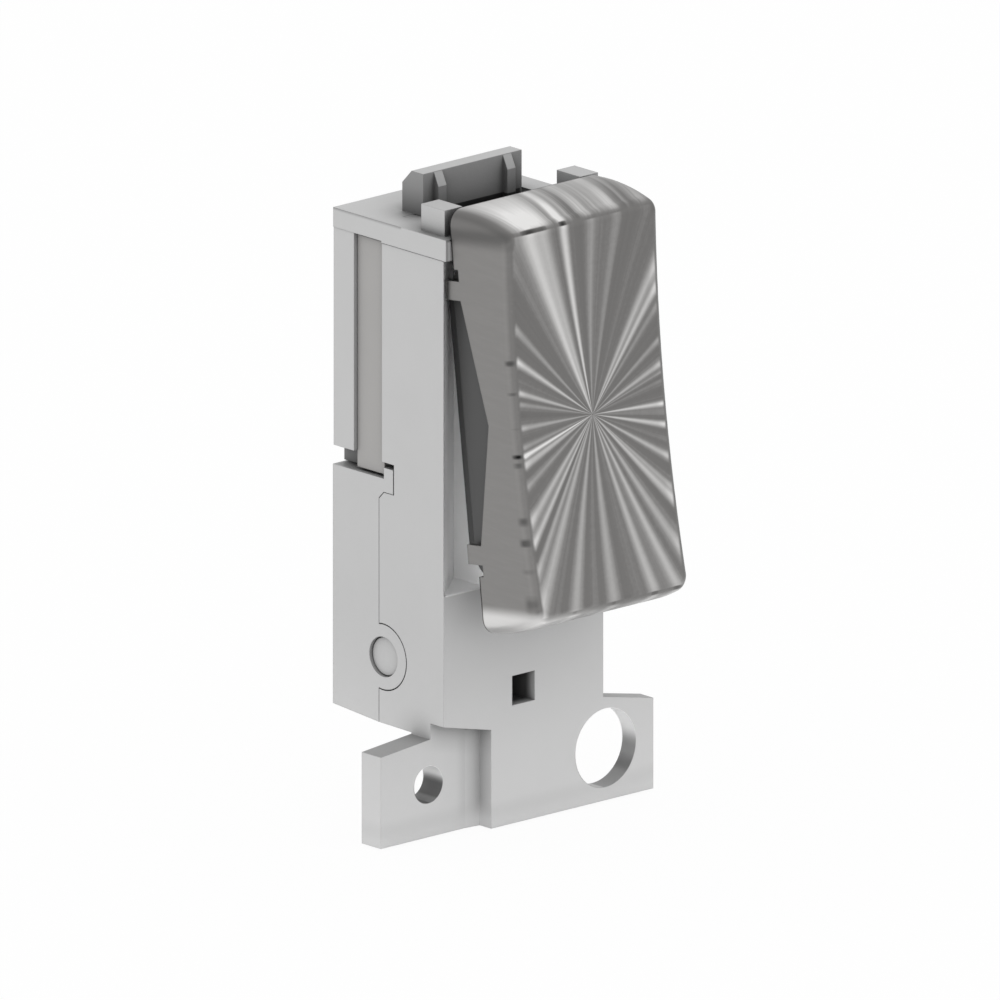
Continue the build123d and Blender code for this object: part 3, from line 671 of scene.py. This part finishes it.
silverLook = dict(brassLook, dark=(0.62, 0.61, 0.58, 1.0), light=(0.82, 0.81, 0.78, 1.0), roughness=0.25)
contactSilver = workedMetal("contactSilver", silverLook)
wear(("lower_fixed_contact", "upper_fixed_contact", "moving_contacts"), contactSilver)

steelLook = dict(brassLook, dark=(0.42, 0.42, 0.41, 1.0), light=(0.60, 0.60, 0.58, 1.0), roughness=0.3)
wear(("terminal_screws",), workedMetal("screwSteel", steelLook))

# The plunger's spring is drawn as a copy, carried with the rocker
springLook = {"seat": -0.0041, "length": 0.0036, "travel": 0.0006}
springSteel = workedMetal("springSteel", dict(steelLook, roughness=0.2))
wear(("plunger_spring",), springSteel)
coil = bpy.data.objects.new("coil_spring", nodes["plunger_spring"].data.copy())
bpy.context.scene.collection.objects.link(coil)
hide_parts("plunger_spring")
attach(coil, "rocker")
seat = fromRocker(0.0, springLook["seat"], 0.0)
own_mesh(coil)
print("inner metals made")


# Floor, world, lamps and camera
stageLook = {
    "size": 3.0,
    "drop": 0.0002,
    "tone": (0.88, 0.88, 0.88, 1.0),
    "white": (1.0, 1.0, 1.0, 1.0),
    "seenWhite": 0.95,
    "worldLevel": 0.96,
}


def pastCamera(paint):  # 1 for rays from the camera, and for what metal or glass shows
    path = paint.tree.nodes.new("ShaderNodeLightPath")
    names = ("Is Camera Ray", "Is Glossy Ray", "Is Transmission Ray")
    direct, glossy, through = [Wire(paint.tree, path.outputs[name]) for name in names]
    return (direct + glossy + through).clamped()


def paleFloor(look):
    material, paint = newPaint("paleFloor")
    matt = paint.node("BsdfDiffuse", {}, {"Color": look["tone"]})
    white = paint.node("Emission", {}, {"Color": look["white"], "Strength": 1.0})
    seen = pastCamera(paint) * look["seenWhite"]
    closePaint(paint, paint.node("MixShader", {}, {0: seen, 1: matt, 2: white}))
    return material


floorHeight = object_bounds()[0].z - stageLook["drop"]
bpy.ops.mesh.primitive_plane_add(size=stageLook["size"], location=(0.0, 0.0, floorHeight))
floor = bpy.context.object
floor.name = "floor"
floor.data.materials.append(paleFloor(stageLook))

world = bpy.data.worlds.new("studioWorld")
bpy.context.scene.world = world
world.use_nodes = True
world.node_tree.nodes.clear()
sky = Wire(world.node_tree)
level = stageLook["worldLevel"] + pastCamera(sky) * (1.0 - stageLook["worldLevel"])
skyOut = world.node_tree.nodes.new("ShaderNodeOutputWorld")
skyShade = sky.node("Background", {}, {"Color": stageLook["white"], "Strength": level})
world.node_tree.links.new(skyShade.socket, skyOut.inputs["Surface"])

lampAim = (0.0066, -0.0016, 0.0237)
lampLooks = (
    {"name": "sideLamp", "place": (-0.86, -0.10, 0.16), "size": 0.80, "power": 0.45},
    {"name": "frontLamp", "place": (-0.46, -0.74, 0.06), "size": 0.70, "power": 1.0},
    {"name": "rightLamp", "place": (0.50, -0.72, 0.10), "size": 0.80, "power": 0.25},
    {"name": "topLamp", "place": (0.05, 0.10, 0.90), "size": 0.80, "power": 0.15},
)
for look in lampLooks:
    lamp = bpy.data.lights.new(look["name"], "AREA")
    lamp.shape = "SQUARE"
    lamp.size = look["size"]
    lamp.energy = look["power"]
    holder = bpy.data.objects.new(look["name"], lamp)
    bpy.context.scene.collection.objects.link(holder)
    holder.location = look["place"]
    sight = Vector(lampAim) - Vector(look["place"])
    holder.rotation_euler = sight.to_track_quat("-Z", "Y").to_euler()

cameraLook = {
    "turn": radians(-42.4),
    "rise": radians(15.9),
    "aim": (0.0066016, -0.00163, 0.023743),
    "frameWidth": 0.08333,
    "distance": 0.5,
}
turn, rise = cameraLook["turn"], cameraLook["rise"]
towards = Vector((sin(turn) * cos(rise), -cos(turn) * cos(rise), sin(rise)))
camera = bpy.data.cameras.new("camera")
camera.type = "ORTHO"
camera.ortho_scale = cameraLook["frameWidth"]
cameraHolder = bpy.data.objects.new("camera", camera)
bpy.context.scene.collection.objects.link(cameraHolder)
cameraHolder.location = Vector(cameraLook["aim"]) + towards * cameraLook["distance"]
cameraHolder.rotation_euler = (pi / 2 - rise, 0.0, turn)
bpy.context.scene.camera = cameraHolder
bpy.context.scene.view_settings.view_transform = "Standard"
print("stage, lamps and camera set")
